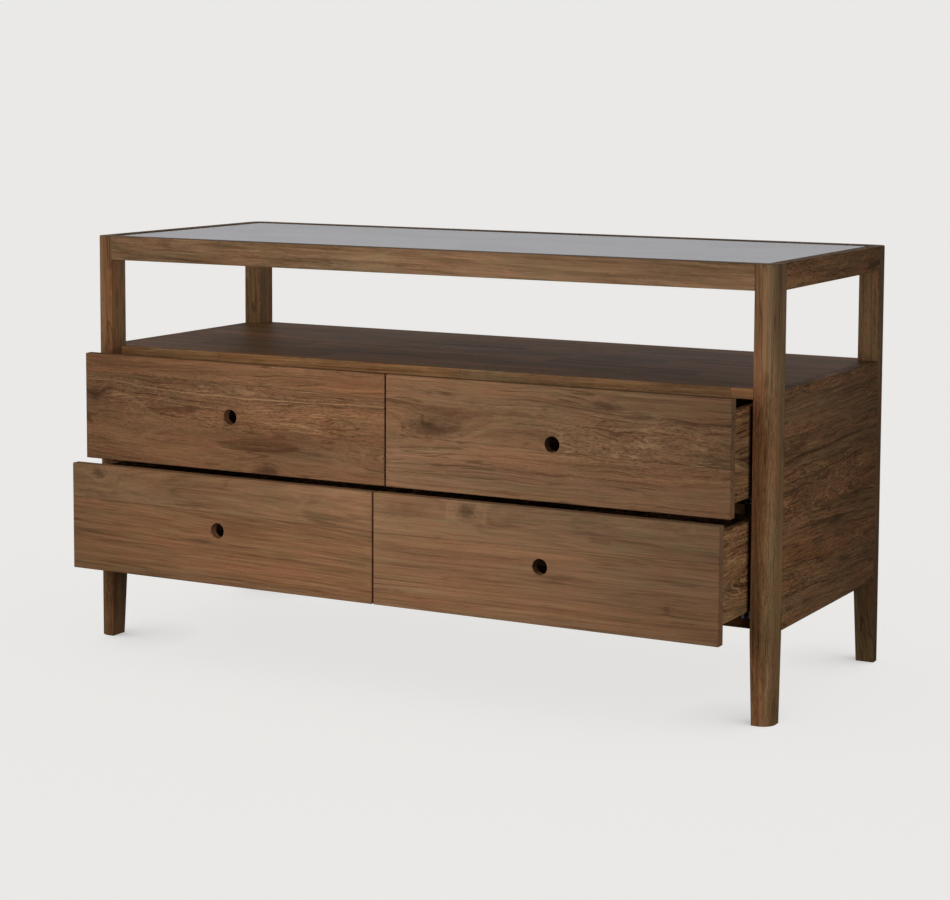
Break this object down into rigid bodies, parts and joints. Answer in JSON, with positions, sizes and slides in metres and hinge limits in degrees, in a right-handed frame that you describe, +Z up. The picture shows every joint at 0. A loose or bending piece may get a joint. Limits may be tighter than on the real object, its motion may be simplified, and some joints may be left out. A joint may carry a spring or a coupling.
{
  "type": "dresser",
  "caption": "Low dark wooden dresser with a framed smoked glass top, an open bay below it and drawers with round finger holes that slide on steel runners",
  "frame": {"origin": "on the floor, under the centre of the four legs", "axes": "+X to the right as one faces the drawers, -Y the front, towards which the drawers open, +Z up"},
  "size_m": [1.4, 0.689, 0.78],
  "materials": {
    "case_wood": "dark stained, satin, open grain",
    "front_wood": "dark stained, satin, figured grain",
    "box_wood": "dark stained, matt, coarse grain",
    "dowel_wood": "plain beech",
    "smoked_glass": "smoked grey, polished",
    "runner_steel": "zinc plated, rolled",
    "zinc_screws": "zinc plated",
    "clear_pads": "clear, soft"
  },
  "bodies": {
    "case": {"leg_front_left": "case_wood", "leg_front_right": "case_wood", "leg_back_left": "case_wood", "leg_back_right": "case_wood", "top_rail_front": "case_wood", "top_rail_back": "case_wood", "top_rail_left": "case_wood", "top_rail_right": "case_wood", "glass_top": "smoked_glass", "glass_pads": "clear_pads", "shelf_board": "case_wood", "bottom_board": "case_wood", "side_panel_left": "case_wood", "side_panel_right": "case_wood", "centre_divider": "case_wood", "mid_board_left": "case_wood", "mid_board_right": "case_wood", "back_panel": "case_wood", "rail_dowels": "dowel_wood", "case_dowels": "dowel_wood", "channel_screws": "zinc_screws", "upper_left_channels": "runner_steel", "upper_right_channels": "runner_steel", "lower_left_channels": "runner_steel", "lower_right_channels": "runner_steel"},
    "drawer_upper_left": {"upper_left_front": "front_wood", "upper_left_side_outer": "box_wood", "upper_left_side_inner": "box_wood", "upper_left_back": "box_wood", "upper_left_bottom": "box_wood", "upper_left_sliders": "runner_steel", "upper_left_slider_screws": "zinc_screws", "upper_left_dowels": "dowel_wood"},
    "drawer_upper_right": {"upper_right_front": "front_wood", "upper_right_side_outer": "box_wood", "upper_right_side_inner": "box_wood", "upper_right_back": "box_wood", "upper_right_bottom": "box_wood", "upper_right_sliders": "runner_steel", "upper_right_slider_screws": "zinc_screws", "upper_right_dowels": "dowel_wood"},
    "drawer_lower_left": {"lower_left_front": "front_wood", "lower_left_side_outer": "box_wood", "lower_left_side_inner": "box_wood", "lower_left_back": "box_wood", "lower_left_bottom": "box_wood", "lower_left_sliders": "runner_steel", "lower_left_slider_screws": "zinc_screws", "lower_left_dowels": "dowel_wood"},
    "drawer_lower_right": {"lower_right_front": "front_wood", "lower_right_side_outer": "box_wood", "lower_right_side_inner": "box_wood", "lower_right_back": "box_wood", "lower_right_bottom": "box_wood", "lower_right_sliders": "runner_steel", "lower_right_slider_screws": "zinc_screws", "lower_right_dowels": "dowel_wood"}
  },
  "joints": [
    {"name": "upper_left_slide", "type": "slide", "parent": "case", "child": "drawer_upper_left", "axis": [0, -1, 0], "range_m": [-0.096, 0.234]},
    {"name": "upper_right_slide", "type": "slide", "parent": "case", "child": "drawer_upper_right", "axis": [0, -1, 0], "range_m": [-0.096, 0.234]},
    {"name": "lower_left_slide", "type": "slide", "parent": "case", "child": "drawer_lower_left", "axis": [0, -1, 0], "range_m": [-0.139, 0.191]},
    {"name": "lower_right_slide", "type": "slide", "parent": "case", "child": "drawer_lower_right", "axis": [0, -1, 0], "range_m": [-0.139, 0.191]}
  ]
}
